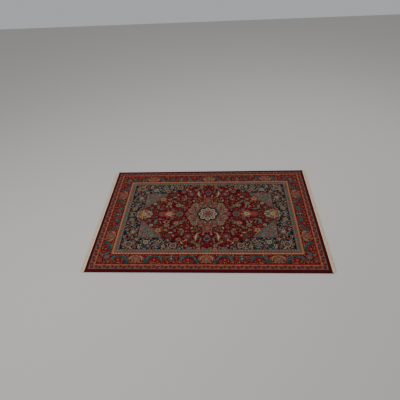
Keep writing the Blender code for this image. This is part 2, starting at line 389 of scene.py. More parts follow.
def paint_main_border(chart, inset):
    """The red main border: palmettes, scrolls and buds in turn over small scattered flowers, with a group of
    flowers on a stem near the corner.
    """
    border = (inset > BORDER_START + 0.003) & (inset < BORDER_END - 0.004)
    kinds = [("rust", "orange"), ("maroon", "rose"), ("mauve", "tan"), ("bright_red", "tan"),
             ("grey", "maroon"), ("tan", "rust"), ("bright_red", "maroon"), ("olive", "rust")]
    scatter(chart, border, 0.0145, kinds, 11, size=(0.0040, 0.0075), fill=0.95)
    draw = {"palmette": border_palmette, "scroll": border_scroll, "bud": border_bud}
    for long, motifs in ((True, LONG_MOTIFS), (False, SHORT_MOTIFS)):
        side = Side(chart, long, BORDER_MIDDLE)
        for kind in ("scroll", "bud", "palmette"):
            for along, named, *way in motifs:
                if named == kind:
                    draw[kind](chart, side, along, *way)
    cx, cy = chart.half[0] - 0.200, chart.half[1] - 0.200
    stroke(chart, [(cx - 0.060, cy + 0.040), (cx, cy - 0.045), (cx + 0.050, cy + 0.005)], 0.009, "bright_red")
    put_flowers(chart, [(cx, cy, 0.036, "grey_teal", "pink"), (cx + 0.062, cy + 0.055, 0.022, "grey", "rose"),
                        (cx + 0.062, cy - 0.030, 0.020, "tan", "brick"),
                        (cx - 0.030, cy + 0.062, 0.018, "rust", "tan")], "maroon")


def paint_corner_ground(chart, zone):
    """The dark ground round the medallion, full of flowers and leaves."""
    corner = zone == "corner"
    chart.put(chart.whole, corner, "navy")
    kinds = [("mauve", "tan"), ("grey", "rose"), ("pink", "cream"), ("grey_teal", "navy"), ("sky", "navy"),
             ("tan", "rust"), ("sea_green", "navy"), ("olive", "tan"), ("rose", "pink"), ("cream", "brown")]
    scatter(chart, corner, 0.0185, kinds, 5, size=(0.0042, 0.0085), fill=0.80)
    scatter(chart, corner, 0.0480, [("cream", "tan"), ("cream", "pink")], 8, size=(0.0070, 0.0100),
            fill=0.7, outline="navy")
    put_leaves(chart, [
        ((0.465, 0.562), (0.500, 0.490), 0.012, "tan", "gold", 0.10),
        ((0.500, 0.495), (0.482, 0.450), 0.009, "tan", "rust", 0.10),
        ((0.552, 0.438), (0.590, 0.482), 0.010, "pink", "cream", 0.05),
        ((0.602, 0.442), (0.640, 0.480), 0.010, "sky", "grey", 0.05),
        ((0.520, 0.428), (0.535, 0.462), 0.008, "tan", "rust", 0.05),
        ((0.528, 0.458), (0.552, 0.488), 0.008, "tan", "orange", 0.05),
        ((0.700, 0.562), (0.735, 0.520), 0.012, "teal", "navy", 0.05),
        ((0.758, 0.572), (0.782, 0.530), 0.013, "cream", "rose", 0.05),
        ((0.808, 0.572), (0.836, 0.496), 0.024, "mauve", "rust", 0.05),
        ((0.856, 0.575), (0.884, 0.540), 0.011, "cream", "grey", 0.05),
        ((0.832, 0.476), (0.862, 0.434), 0.010, "grey", "sky", 0.05),
        ((0.800, 0.446), (0.836, 0.410), 0.013, "tan", "gold", 0.05),
        ((0.950, 0.530), (0.972, 0.490), 0.014, "tan", "olive", 0.05),
        ((0.842, 0.262), (0.876, 0.216), 0.011, "mauve", "sky", 0.05),
        ((0.936, 0.340), (0.955, 0.300), 0.012, "teal", "sky", 0.05),
        ((0.930, 0.450), (0.972, 0.436), 0.009, "grey_teal", "sky", 0.05),
        ((0.940, 0.270), (0.966, 0.236), 0.011, "olive", "tan", 0.05),
        ((0.860, 0.130), (0.900, 0.150), 0.010, "grey", "rust", 0.05),
    ], "navy")
    put_flowers(chart, [
        (0.382, 0.522, 0.045, "tan", "mauve"), (0.432, 0.562, 0.017, "pink", "cream"),
        (0.424, 0.482, 0.019, "pink", "grey"), (0.322, 0.566, 0.016, "pink", "mauve"),
        (0.506, 0.538, 0.020, "tan", "cream"), (0.553, 0.518, 0.018, "sky", "navy"),
        (0.590, 0.510, 0.033, "tan", "grey_teal"), (0.603, 0.560, 0.017, "grey", "sea_green"),
        (0.642, 0.564, 0.015, "pink", "rose"), (0.667, 0.530, 0.036, "mauve", "tan"),
        (0.692, 0.564, 0.014, "rose", "pink"), (0.703, 0.470, 0.034, "cream", "grey"),
        (0.745, 0.482, 0.014, "sea_green", "tan"), (0.757, 0.512, 0.021, "rust", "cream"),
        (0.762, 0.454, 0.019, "grey_teal", "pink"), (0.803, 0.500, 0.014, "mauve", "pink"),
        (0.900, 0.500, 0.052, "tan", "mauve"), (0.836, 0.490, 0.011, "cream", "pink"),
        (0.862, 0.474, 0.012, "cream", "rust"), (0.876, 0.402, 0.020, "pink", "tan"),
        (0.856, 0.364, 0.020, "rose", "mauve"), (0.912, 0.360, 0.022, "pink", "rust"),
        (0.953, 0.474, 0.015, "pink", "cream"), (0.922, 0.420, 0.018, "rose", "rust"),
        (0.957, 0.370, 0.020, "rose", "pink"), (0.882, 0.308, 0.038, "tan", "cream"),
        (0.948, 0.552, 0.016, "orange", "rose"), (0.907, 0.560, 0.016, "tan", "rust"),
        (0.908, 0.190, 0.026, "tan", "pink"), (0.966, 0.206, 0.015, "sea_green", "grey"),
        (0.925, 0.152, 0.017, "sky", "teal"), (0.936, 0.098, 0.036, "tan", "gold"),
        (0.915, 0.248, 0.018, "rose", "tan"), (0.962, 0.150, 0.013, "rose", "pink"),
        (0.952, 0.035, 0.018, "sky", "mauve"), (0.950, 0.004, 0.018, "tan", "gold"),
    ], "navy")
    stroke(chart, [(0.268, 0.585), (0.362, 0.452)], 0.010, "navy")
    stroke(chart, [(0.262, 0.582), (0.356, 0.450)], 0.006, "pink")
    stroke(chart, [(0.262, 0.580), (0.300, 0.525)], 0.005, "sea_green")
    stroke(chart, [(0.818, 0.168), (0.850, 0.150)], 0.006, "pink")


def paint_spandrel(chart, zone):
    """The grey-teal blocks, strewn with short upright dashes of rose and green."""
    block = zone == "spandrel"
    chart.put(chart.whole, block, "grey")
    draw = np.random.default_rng(9)
    reds = ("rose", "rose", "mauve", "pink", "brick")
    greens = ("sea_green", "grey_teal", "sea_green", "grey", "teal")
    for row, py in enumerate(np.arange(0.09, 0.42, 0.0200)):
        for column, px in enumerate(np.arange(0.53 + 0.0070 * (row % 2), 0.83, 0.0140)):
            sx, sy = px + draw.uniform(-0.002, 0.002), py + draw.uniform(-0.003, 0.003)
            family = reds if (column + row) % 2 else greens
            wool = family[draw.integers(len(family))]
            lean = draw.uniform(-0.004, 0.004)
            window, dx, dy = chart.near(sx, sy, 0.016)
            dash = (np.abs(dx - lean * dy / 0.011) < 0.0056) & (np.abs(dy) < 0.0095) & block[window]
            chart.put(window, dash, wool)
    x, y = np.meshgrid(chart.x, chart.y)
    outer = (x > x[block].max() - 0.008) | (y > y[block].max() - 0.005)
    chart.put(chart.whole, block & outer, "brick")


def paint_medallion_ground(chart, zone):
    """The red ground with its vines and scattered buds."""
    ground = zone == "medallion"
    chart.put(chart.whole, ground, "deep_red")
    for cx, cy, radius, start, turns in [
        (0.30, 0.20, 0.070, 2.6, -1.1), (0.44, 0.26, 0.065, 4.0, 1.1), (0.42, 0.38, 0.055, 0.5, -1.2),
        (0.20, 0.50, 0.055, 3.0, 1.1), (0.10, 0.45, 0.050, 0.0, 1.1), (0.58, 0.17, 0.055, 2.0, -1.1),
        (0.66, 0.12, 0.050, 4.0, 1.0), (0.33, 0.09, 0.045, 1.0, 1.1), (0.06, 0.40, 0.045, 2.0, 1.0),
        (0.27, 0.46, 0.050, 5.0, -1.0), (0.52, 0.34, 0.050, 1.0, 1.0), (0.44, 0.05, 0.040, 3.0, 1.0),
        (0.68, 0.05, 0.040, 3.0, 1.0), (0.14, 0.32, 0.045, 5.0, 1.0), (0.74, 0.15, 0.040, 2.0, 1.0),
    ]:
        spiral(chart, cx, cy, radius, start, turns, 0.0032, "olive")
    kinds = [("maroon", "rust"), ("rose", "tan"), ("olive", "tan"), ("maroon", "brown"), ("brown", "maroon"),
             ("grey", "rose"), ("brown", "olive"), ("bright_red", "deep_red"), ("sea_green", "brown")]
    scatter(chart, ground, 0.0240, kinds, 3, size=(0.0045, 0.0085), fill=0.80)
    scatter(chart, ground, 0.0620, [("cream", "tan"), ("tan", "cream"), ("pink", "cream")], 7,
            size=(0.0050, 0.0085), fill=0.8, outline="brown")


def paint_medallion_flowers(chart):
    """The flowers, leaves and palmettes on the red ground, by place."""
    put_leaves(chart, [
        ((0.062, 0.400), (0.078, 0.468), 0.009, "grey", "pink", -0.10),
        ((0.105, 0.505), (0.145, 0.478), 0.011, "grey_teal", "sea_green", 0.05),
        ((0.130, 0.575), (0.152, 0.535), 0.010, "sea_green", "grey", 0.05),
        ((0.228, 0.415), (0.262, 0.458), 0.011, "orange", "pink", 0.05),
        ((0.278, 0.500), (0.302, 0.462), 0.012, "tan", "cream", 0.05),
        ((0.440, 0.460), (0.460, 0.422), 0.009, "tan", "orange", 0.05),
        ((0.405, 0.322), (0.452, 0.316), 0.011, "tan", "cream", 0.05),
        ((0.402, 0.198), (0.452, 0.258), 0.013, "grey_teal", "sea_green", 0.08),
        ((0.136, 0.216), (0.164, 0.262), 0.012, "olive", "sea_green", 0.05),
        ((0.172, 0.224), (0.194, 0.272), 0.010, "cream", "grey", -0.08),
        ((0.222, 0.200), (0.236, 0.250), 0.011, "olive", "sea_green", 0.08),
        ((0.238, 0.226), (0.256, 0.262), 0.008, "pink", "rust", -0.08),
        ((0.550, 0.094), (0.622, 0.100), 0.013, "grey_teal", "sea_green", -0.08),
        ((0.626, 0.086), (0.648, 0.170), 0.017, "sea_green", "grey", 0.05),
        ((0.412, 0.068), (0.468, 0.086), 0.013, "sea_green", "olive", 0.08),
        ((0.700, 0.140), (0.722, 0.082), 0.014, "grey", "sea_green", 0.08),
        ((0.562, 0.170), (0.576, 0.130), 0.007, "tan", "rust", 0.08),
        ((0.206, 0.122), (0.226, 0.074), 0.010, "orange", "tan", 0.08),
        ((0.284, 0.098), (0.292, 0.056), 0.009, "sky", "navy", 0.08),
    ])
    put_flowers(chart, [
        (0.042, 0.568, 0.022, "tan", "olive"), (0.100, 0.572, 0.016, "orange", "rust"),
        (0.096, 0.526, 0.030, "tan", "sea_green"), (0.050, 0.498, 0.017, "grey", "mauve"),
        (0.180, 0.562, 0.020, "pink", "grey"), (0.212, 0.566, 0.021, "sky", "teal"),
        (0.236, 0.528, 0.018, "tan", "rust"), (0.166, 0.468, 0.024, "tan", "olive"),
        (0.222, 0.380, 0.050, "mauve", "pink"), (0.048, 0.348, 0.018, "grey", "cream"),
        (0.326, 0.430, 0.029, "tan", "olive"), (0.396, 0.370, 0.016, "tan", "cream"),
        (0.458, 0.370, 0.036, "mauve", "olive"), (0.390, 0.276, 0.016, "grey_teal", "sea_green"),
        (0.495, 0.275, 0.022, "tan", "rust"), (0.310, 0.266, 0.016, "pink", "cream"),
        (0.040, 0.302, 0.018, "pink", "grey"), (0.124, 0.290, 0.018, "grey", "olive"),
        (0.175, 0.300, 0.019, "tan", "rust"), (0.102, 0.260, 0.015, "gold", "olive"),
        (0.070, 0.290, 0.013, "teal", "navy"), (0.250, 0.298, 0.016, "pink", "rose"),
        (0.300, 0.128, 0.016, "grey", "sea_green"), (0.306, 0.206, 0.014, "rust", "tan"),
        (0.252, 0.164, 0.016, "olive", "navy"), (0.240, 0.190, 0.013, "pink", "rose"),
        (0.495, 0.195, 0.036, "tan", "grey"), (0.476, 0.145, 0.015, "cream", "pink"),
        (0.522, 0.145, 0.015, "cream", "pink"), (0.542, 0.246, 0.016, "olive", "tan"),
        (0.520, 0.318, 0.019, "olive", "navy"), (0.602, 0.214, 0.013, "pink", "rust"),
        (0.682, 0.196, 0.027, "cream", "tan"), (0.360, 0.250, 0.015, "mauve", "grey"),
        (0.262, 0.108, 0.015, "rose", "pink"), (0.630, 0.200, 0.012, "rose", "pink"),
        (0.740, 0.140, 0.014, "rust", "tan"), (0.660, 0.060, 0.014, "rose", "rust"),
    ])
    flower(chart, 0.0, 0.42, 0.044, "grey_teal", "navy", "maroon", lobes=10)
    leaf(chart, (0.112, 0.338), (0.126, 0.446), 0.019,
         [(1.0, "maroon"), (0.85, "tan"), (0.45, "cream")], -0.12, ragged=0.3)
    leaf(chart, (0.098, 0.360), (0.124, 0.420), 0.012, [(1.0, "sea_green"), (0.5, "olive")], 0.05)
    leaf(chart, (0.094, 0.322), (0.130, 0.346), 0.010, [(1.0, "gold"), (0.4, "orange")], 0.05)
    leaf(chart, (0.292, 0.262), (0.318, 0.368), 0.018,
         [(1.0, "brown"), (0.8, "sea_green"), (0.4, "grey")], 0.12, ragged=0.3)
    leaf(chart, (0.308, 0.276), (0.338, 0.342), 0.012, [(1.0, "rust"), (0.5, "olive")], -0.10)
    palmette(chart, 0.380, 0.160, 0.046, [(1.0, "brown"), (0.92, "olive"), (0.78, "tan"), (0.66, "sea_green"),
             (0.52, "orange"), (0.34, "rose")], math.pi, seams="brown")
    leaf(chart, (0.345, 0.160), (0.300, 0.166), 0.012, [(1.0, "sea_green"), (0.5, "tan")])
    rosette(chart, 0.588, 0.284, 0.056, [(1.0, "brown"), (0.92, "rust"), (0.70, "tan"), (0.5, "orange"),
            (0.28, "olive")], lobes=5, depth=0.42, turn=0.3)
    for reach, rise, wool in ((0.098, 0.058, "bright_red"), (0.122, 0.036, "rose"), (0.136, 0.012, "pink")):
        leaf(chart, (0.505, rise * 0.3), (0.492 + reach, rise), 0.016,
             [(1.0, "maroon"), (0.75, wool), (0.25, "brick")], 0.08, ragged=0.2)
    palmette(chart, 0.482, 0.0, 0.074, [(1.05, "brick"), (0.96, "pink"), (0.84, "rose"), (0.74, "orange"),
             (0.58, "rust"), (0.48, "cream"), (0.30, "orange"), (0.16, "olive")], math.pi, slim=0.80,
             seams="maroon")
    flower(chart, 0.352, 0.0, 0.050, "grey", "olive", "brown", lobes=8)
    flower(chart, 0.640, 0.0, 0.022, "mauve", "olive", "brown", lobes=6)
    stroke(chart, [(0.40, 0.008), (0.43, 0.045), (0.455, 0.030)], 0.005, "rose")


def paint_centre(chart):
    """The rosette at the centre in its rings of petals, and the palmettes that crown it."""
    up = math.pi / 2
    window, dx, dy = chart.near(0.0, 0.0, 0.30)
    angle = np.arctan2(dy, dx)
    distance = np.hypot(dx * 0.92, dy)
    petals = np.abs(np.cos(10 * (angle - up)))
    edge = 0.222 + 0.026 * petals
    for reach, wool in ((1.0, "brown"), (0.975, "rust"), (0.945, "mauve")):
        chart.put(window, distance < edge * reach, wool)
    chart.put(window, (distance < edge * 0.92) & (petals < 0.16), "tan")
    for radius, size, wools in [
        (0.151, 0.0125, ("tan", "brick", "grey")),
        (0.178, 0.0125, ("rose", "tan", "sea_green")),
        (0.205, 0.0125, ("maroon", "tan", "rose", "grey_teal")),
        (0.230, 0.0110, ("tan", "rose")),
    ]:
        count = 4 * round(math.tau * radius / 0.034 / 4)
        number = np.round(angle * count / math.tau).astype(int)
        off = np.hypot(distance - radius, (angle - number * math.tau / count) * radius)
        for turn, wool in enumerate(wools):
            chart.put(window, (off < size) & (number % len(wools) == turn), wool)
    for px, py, radius, wool, heart in [
        (0.160, 0.168, 0.040, "tan", "sea_green"), (0.250, 0.004, 0.038, "rose", "sea_green"),
        (0.076, 0.206, 0.024, "grey", "tan"), (0.030, 0.178, 0.018, "olive", "gold"),
        (0.215, 0.082, 0.022, "tan", "gold"), (0.130, 0.098, 0.018, "tan", "rust"),
        (0.176, 0.045, 0.020, "tan", "rose"), (0.095, 0.140, 0.016, "pink", "grey"),
        (0.165, 0.080, 0.014, "brick", "rose"), (0.150, 0.035, 0.015, "olive", "grey"),
    ]:
        flower(chart, px, py, radius, wool, heart, "brick")
    layers = [(1.05, "maroon"), (0.97, "tan"), (0.88, "bright_red"), (0.74, "rose"), (0.62, "maroon"),
              (0.54, "pink"), (0.44, "rose"), (0.32, "sea_green")]
    palmette(chart, 0.0, 0.245, 0.068, layers, up, slim=0.85)
    reach = np.hypot(dx, dy) / (1 - 0.13 * (1 - np.abs(np.cos(4 * angle))))
    for radius, wool in ((0.143, "grey"), (0.136, "navy")):
        chart.put(window, reach < radius, wool)
    from_lobe = np.mod(angle + math.pi / 8, math.pi / 4) - math.pi / 8
    distance = np.hypot(dx, dy)
    petal = np.hypot(distance * np.sin(from_lobe), distance * np.cos(from_lobe) - 0.086)
    for radius, wool in ((0.0300, "cream"), (0.0190, "pink"), (0.0125, "rose")):
        chart.put(window, petal < radius, wool)
    for radius, wool in ((0.060, "navy"), (0.050, "grey_teal"), (0.040, "mauve"), (0.030, "rose"),
                         (0.013, "olive")):
        chart.put(window, distance < radius, wool)
    spokes = np.abs(np.cos(4 * angle)) > 0.75
    chart.put(window, spokes & (distance > 0.036) & (distance < 0.056), "tan")


def paint_pendant(chart):
    """The cream and gold pendant at each tip of the medallion, inside its pointed outline."""
    outline = [(0.780, 0.134), (0.815, 0.110), (0.855, 0.084), (0.886, 0.046), (0.910, 0.0)]
    stroke(chart, outline, 0.015, "maroon")
    stroke(chart, outline, 0.010, "rust")
    stroke(chart, outline[2:], 0.005, "orange")
    window, dx, dy = chart.near(0.795, 0.0, 0.16)
    angle = np.arctan2(dy, dx)
    size = np.hypot(dx / 0.100, dy / 0.090) * (1 + 0.10 * np.cos(6 * angle))
    layers = [(1.03, "brown"), (0.97, "grey"), (0.86, "cream"), (0.72, "brown"), (0.64, "tan"),
              (0.48, "brick"), (0.42, "gold"), (0.26, "cream"), (0.12, "rust")]
    for share, wool in layers:
        chart.put(window, size < share, wool)
    spokes = np.abs(np.sin(7 * angle))
    chart.put(window, (size < 0.90) & (size > 0.48) & (spokes > 0.85), "brown")
    put_leaves(chart, [
        ((0.806, 0.072), (0.812, 0.000), 0.010, "orange", "gold", 0.10),
        ((0.826, 0.060), (0.846, 0.020), 0.010, "gold", "tan", 0.10),
        ((0.770, 0.056), (0.758, 0.004), 0.009, "tan", "pink", -0.10),
    ])
    put_flowers(chart, [(0.702, 0.006, 0.017, "cream", "pink"), (0.880, 0.014, 0.016, "sky", "grey"),
                        (0.736, 0.040, 0.018, "cream", "tan"), (0.780, 0.088, 0.015, "brown", "grey")])


def make_chart(half_length, half_width, zone_of):
    """The whole quarter chart, from the grounds up to the largest flowers."""
    chart = Chart(half_length, half_width)
    zone = zone_of(chart)
    inset = paint_frames(chart)
    paint_outer_guard(chart)
    paint_inner_guard(chart)
    paint_main_border(chart, inset)
    paint_medallion_ground(chart, zone)
    paint_corner_ground(chart, zone)
    paint_spandrel(chart, zone)
    paint_medallion_flowers(chart)
    paint_centre(chart)
    paint_pendant(chart)
    dye = np.random.default_rng(21).uniform(0.86, 1.14, chart.colour.shape[:2])
    chart.colour *= dye[:, :, None]
    return chart


# Heights and sizes of the yarn work
PILE_TOP = 0.0097
KNOT_UNEVENNESS = 0.00022
KNOT_SHIFT = 0.00030
EDGE_FALL = 0.0012
EDGE_FALL_WIDTH = 0.0060
BACK_UNEVENNESS = 0.0003
WRAP_PITCH = 0.0024
WRAP_RIDGE = 0.00040
CORE_PLY_PITCH = 0.016
WEAVE_COLUMNS = 16
WEAVE_ROW = 0.0010
WEAVE_RELIEF = 0.0005
STITCH_TWIST = 0.0052
TASSELS = 30
YARNS = 10
YARN_RADIUS = 0.00085
YARN_POINTS = 15
KNOT_TURNS = 2.4
TASSEL_KNOT_HEIGHT = 0.0027
TASSEL_KNOT_WIDTH = 0.0036

# The place, turn and lens of the camera
CAMERA_PLACE = (0.1668, -3.2058, 2.9796)
CAMERA_TURN = (0.863693, 0.044848, 0.040786)
CAMERA_LENS = 31.745

SIDE_SIGNS = {"front": -1, "back": 1}
END_SIGNS = {"left": -1, "right": 1}
ZONE_SLOTS = {
    "medallion": "wool_medallion_red",
    "spandrel": "wool_spandrel_grey",
    "corner": "wool_corner_navy",
    "inner_guard": "wool_guard_blue",
    "main_border": "wool_border_red",
    "outer_guard": "wool_outer_maroon",
}


def smooth(share):
    """Eases from 0 to 1 as share does."""
    share = np.clip(share, 0, 1)
    return share * share * (3 - 2 * share)


# ---------------------------------------------------------------- meshes


def add_piece(name, vertices, faces, material, colours=None, sharp=1.0):
    """A mesh piece. faces is a list of arrays of vertex numbers, and colours has one yarn colour a face."""
    mesh = bpy.data.meshes.new(name)
    mesh.from_pydata(vertices, [], [face for group in faces for face in group])
    if colours is not None:
        sizes = np.concatenate([[len(face) for face in group] for group in faces]).astype(int)
        corners = np.repeat(np.concatenate(colours), sizes, axis=0)
        corners = np.hstack([corners, np.ones((len(corners), 1))]).astype(np.float32)
        attribute = mesh.color_attributes.new("yarn", "FLOAT_COLOR", "CORNER")
        attribute.data.foreach_set("color", corners.ravel())
    mesh.shade_smooth()
    mesh.set_sharp_from_angle(angle=sharp)
    mesh.materials.append(material)
    piece = bpy.data.objects.new(name, mesh)
    bpy.context.scene.collection.objects.link(piece)
    return piece


def outline_of(quads):
    """Edges with a quad on one side only, as arrays of their start and end vertices."""
    start = quads.ravel()
    end = np.roll(quads, -1, axis=1).ravel()
    count = quads.max() + 1
    open_edge = ~np.isin(start * count + end, end * count + start)
    return start[open_edge], end[open_edge], np.nonzero(open_edge)[0] // 4


def loops_of(start, end):
    """The closed loops that directed edges make, each as a list of vertices."""
    following = dict(zip(start.tolist(), end.tolist()))
    loops = []
    while following:
        first, here = following.popitem()
        loop = [first]
        while here != first:
            loop.append(here)
            here = following.pop(here)
        loops.append(loop)
    return loops


def sheet_solid(name, mask, corners, far_height, material, colours=None, back=None, up=True):
    """A closed sheet over the masked cells of a grid: its worked face, its edge walls and a plain far side.

    corners holds the points of the grid of cell corners, and colours one colour for each cell; the edge walls
    take these colours at 0.6 of their brightness, as painted shade.
    """
    rows, columns = np.nonzero(mask)
    width = mask.shape[1] + 1
    low = rows * width + columns
    used, quads = np.unique(
        np.stack([low, low + 1, low + width + 1, low + width], axis=1), return_inverse=True
    )
    quads = quads.reshape(-1, 4)
    start, end, owner = outline_of(quads)
    vertices = corners.reshape(-1, 3)[used]
    rim = np.unique(start)
    lowered = np.zeros(len(vertices), int)
    lowered[rim] = len(vertices) + np.arange(len(rim))
    far = vertices[rim].copy()
    far[:, 2] = far_height
    walls = np.stack([end, start, lowered[start], lowered[end]], axis=1)
    bottoms = [np.array([lowered[v] for v in loop[::-1]]) for loop in loops_of(start, end)]
    faces = [quads, walls, bottoms]
    if not up:
        faces = [[face[::-1] for face in group] for group in faces]
    if colours is not None:
        cells = colours[rows, columns]
        # Painted shade: the edge walls get the colours of their cells darkened to 0.6.
        colours = [cells, cells[owner] * 0.6, np.tile(back, (len(bottoms), 1))]
    return add_piece(name, np.vstack([vertices, far]), faces, material, colours)


def sweep(paths, radii, sides=6):
    """Vertices and faces of round yarns with closed ends, along paths of shape (yarns, points, 3)."""
    tangent = np.gradient(paths, axis=1)
    tangent /= np.linalg.norm(tangent, axis=2, keepdims=True)
    across = np.cross(tangent, (0.0, 0.0, 1.0))
    across /= np.maximum(np.linalg.norm(across, axis=2, keepdims=True), 1e-9)
    lift = np.cross(across, tangent)
    angle = np.arange(sides) / sides * math.tau
    turned = (
        np.cos(angle)[:, None] * across[:, :, None, :] + np.sin(angle)[:, None] * lift[:, :, None, :]
    )
    rings = paths[:, :, None, :] + np.asarray(radii)[..., None, None] * turned
    number = np.arange(rings[..., 0].size).reshape(rings.shape[:3])
    here, onward = number[:, :-1], number[:, 1:]
    quads = np.stack(
        [here, onward, np.roll(onward, -1, axis=2), np.roll(here, -1, axis=2)], axis=-1
    ).reshape(-1, 4)
    caps = np.concatenate([number[:, 0], number[:, -1, ::-1]])
    return rings.reshape(-1, 3), [quads, caps]


# ---------------------------------------------------------------- materials


def shader_of(name, roughness, sheen):
    """A new material, with its node tree and its main shader."""
    material = bpy.data.materials.new(name)
    material.use_nodes = True
    shader = material.node_tree.nodes["Principled BSDF"]
    shader.inputs["Roughness"].default_value = roughness
    shader.inputs["Specular IOR Level"].default_value = 0.05
    shader.inputs["Sheen Weight"].default_value = sheen
    shader.inputs["Sheen Roughness"].default_value = 0.5
    return material, material.node_tree, shader


def place_node(tree, stretch):
    """Object coordinates, stretched along each axis."""
    source = tree.nodes.new("ShaderNodeTexCoord")
    mapping = tree.nodes.new("ShaderNodeMapping")
    mapping.inputs["Scale"].default_value = stretch
    tree.links.new(source.outputs["Object"], mapping.inputs["Vector"])
    return mapping.outputs["Vector"]


def range_node(tree, value, source, target):
    """A value carried from one range to another."""
    ranged = tree.nodes.new("ShaderNodeMapRange")
    for name, number in zip(("From Min", "From Max", "To Min", "To Max"), (*source, *target)):
        ranged.inputs[name].default_value = number
    tree.links.new(value, ranged.inputs["Value"])
    return ranged.outputs["Result"]


def noise_node(tree, stretch, scale, low, high, detail=3.0):
    """A noise that runs from low to high."""
    noise = tree.nodes.new("ShaderNodeTexNoise")
    noise.inputs["Scale"].default_value = scale
    noise.inputs["Detail"].default_value = detail
    tree.links.new(place_node(tree, stretch), noise.inputs["Vector"])
    return range_node(tree, noise.outputs["Fac"], (0.3, 0.7), (low, high))


def product_node(tree, one, other):
    made = tree.nodes.new("ShaderNodeMath")
    made.operation = "MULTIPLY"
    tree.links.new(one, made.inputs[0])
    tree.links.new(other, made.inputs[1])
    return made.outputs["Value"]


def shade_node(tree, colour, shade):
    """A colour made lighter or darker by a number that varies over the surface."""
    scaled = tree.nodes.new("ShaderNodeVectorMath")
    scaled.operation = "SCALE"
    tree.links.new(colour, scaled.inputs[0])
    tree.links.new(shade, scaled.inputs["Scale"])
    return scaled.outputs["Vector"]


def bump_node(tree, shader, height, strength, distance):
    bump = tree.nodes.new("ShaderNodeBump")
    bump.inputs["Strength"].default_value = strength
    bump.inputs["Distance"].default_value = distance
    tree.links.new(height, bump.inputs["Height"])
    tree.links.new(bump.outputs["Normal"], shader.inputs["Normal"])


def pile_wool(name, sheen=0.02):
    """Cut wool pile: yarn-dyed knots, slow bands of uneven dye, fibre grain, soft tufts, and painted light
    and shade that lightens the middle of each tuft and darkens the gaps between them.
    """
    material, tree, shader = shader_of(name, 0.95, sheen)
    yarn = tree.nodes.new("ShaderNodeAttribute")
    yarn.attribute_name = "yarn"
    dye_bands = noise_node(tree, (1.0, 0.06, 1.0), 9.0, 0.93, 1.07)
    fibres = noise_node(tree, (1.0, 1.0, 1.0), 700.0, 0.74, 1.26)
    tufts = tree.nodes.new("ShaderNodeTexVoronoi")
    tufts.inputs["Scale"].default_value = 1 / KNOT
    tree.links.new(place_node(tree, (1.0, 1.0, 1.0)), tufts.inputs["Vector"])
    # Painted light and shade: each knot's colour is lighter at its tuft's middle and darker towards the gaps
    # between the tufts.
    between = range_node(tree, tufts.outputs["Distance"], (0.2, 0.9), (1.20, 0.68))
    shade = product_node(tree, product_node(tree, dye_bands, fibres), between)
    tree.links.new(shade_node(tree, yarn.outputs["Color"], shade), shader.inputs["Base Color"])
    bump_node(tree, shader, tufts.outputs["Distance"], 0.45, -0.0014)
    return material


def plain_yarn(name, colour, grain, sheen=0.1, roughness=0.9):
    """Spun yarn of one colour, with slubs and a fibre grain that runs along its stretch."""
    material, tree, shader = shader_of(name, roughness, sheen)
    slubs = noise_node(tree, (1.0, 1.0, 1.0), 60.0, 0.88, 1.12)
    fibres = noise_node(tree, grain, 500.0, 0.78, 1.22)
    shade = product_node(tree, slubs, fibres)
    base = tree.nodes.new("ShaderNodeVectorMath")
    base.operation = "SCALE"
    base.inputs[0].default_value = colour
    tree.links.new(shade, base.inputs["Scale"])
    tree.links.new(base.outputs["Vector"], shader.inputs["Base Color"])
    bump_node(tree, shader, fibres, 0.4, 0.0003)
    return material


# ---------------------------------------------------------------- pile


def footprint(node, x, y):
    """Which places of a grid a node covers, seen from above. x and y place its columns and rows."""
    mesh = frame["nodes"][node].data
    covered = np.zeros((len(y), len(x)), bool)
    for face in mesh.polygons:
        if face.normal.z < 0.5:
            continue
        corners = np.array([mesh.vertices[v].co[:2] for v in face.vertices])
        columns = slice(*np.searchsorted(x, (corners[:, 0].min(), corners[:, 0].max())))
        rows = slice(*np.searchsorted(y, (corners[:, 1].min(), corners[:, 1].max())))
        px, py = np.meshgrid(x[columns], y[rows])
        inside = np.ones(px.shape, bool)
        for (x0, y0), (x1, y1) in zip(corners, np.roll(corners, -1, axis=0)):
            inside &= (x1 - x0) * (py - y0) >= (y1 - y0) * (px - x0)
        covered[rows, columns] |= inside
    return covered


def zones_of_quarter(chart):
    """The name of the field's zone at each knot of the chart."""
    zone = np.full((chart.rows, chart.columns), "frame", dtype="U12")
    for name in ("spandrel", "corner"):
        zone[footprint(f"pile_{name}_back_right", chart.x, chart.y)] = name
    zone[footprint("pile_medallion", chart.x, chart.y)] = "medallion"
    return zone


def mirrored(quarter):
    """A quarter's array, mirrored about both middle lines."""
    half = np.concatenate([quarter[:, ::-1], quarter], axis=1)
    return np.concatenate([half[::-1], half], axis=0)


def pile_nodes():
    """Each pile node of the frame, with the name of its zone."""
    for node in sorted(frame["nodes"]):
        for zone in ZONE_SLOTS:
            if node.startswith(f"pile_{zone}"):
                yield node, zone


def knot_corners(chart, draw):
    """The points of the corners of all knots: uneven, a little shifted, and falling off at the edges."""
    half_length, half_width = chart.half
    x = np.linspace(-half_length, half_length, 2 * chart.columns + 1)
    y = np.linspace(-half_width, half_width, 2 * chart.rows + 1)
    px, py = np.meshgrid(x, y)
    inset = np.minimum(half_length - np.abs(px), half_width - np.abs(py))
    fall = EDGE_FALL * (1 - smooth(inset / EDGE_FALL_WIDTH))
    waves = 0.00015 * np.sin(px * 9.1 + 2.0) * np.cos(py * 11.3 + 1.0)
    pz = PILE_TOP - fall + waves + draw.normal(0, KNOT_UNEVENNESS, px.shape).clip(-0.0005, 0.0004)
    free = (inset > 0).astype(float) * KNOT_SHIFT
    px = px + draw.uniform(-1, 1, px.shape) * free
    py = py + draw.uniform(-1, 1, py.shape) * free
    return np.stack([px, py, pz], axis=-1)


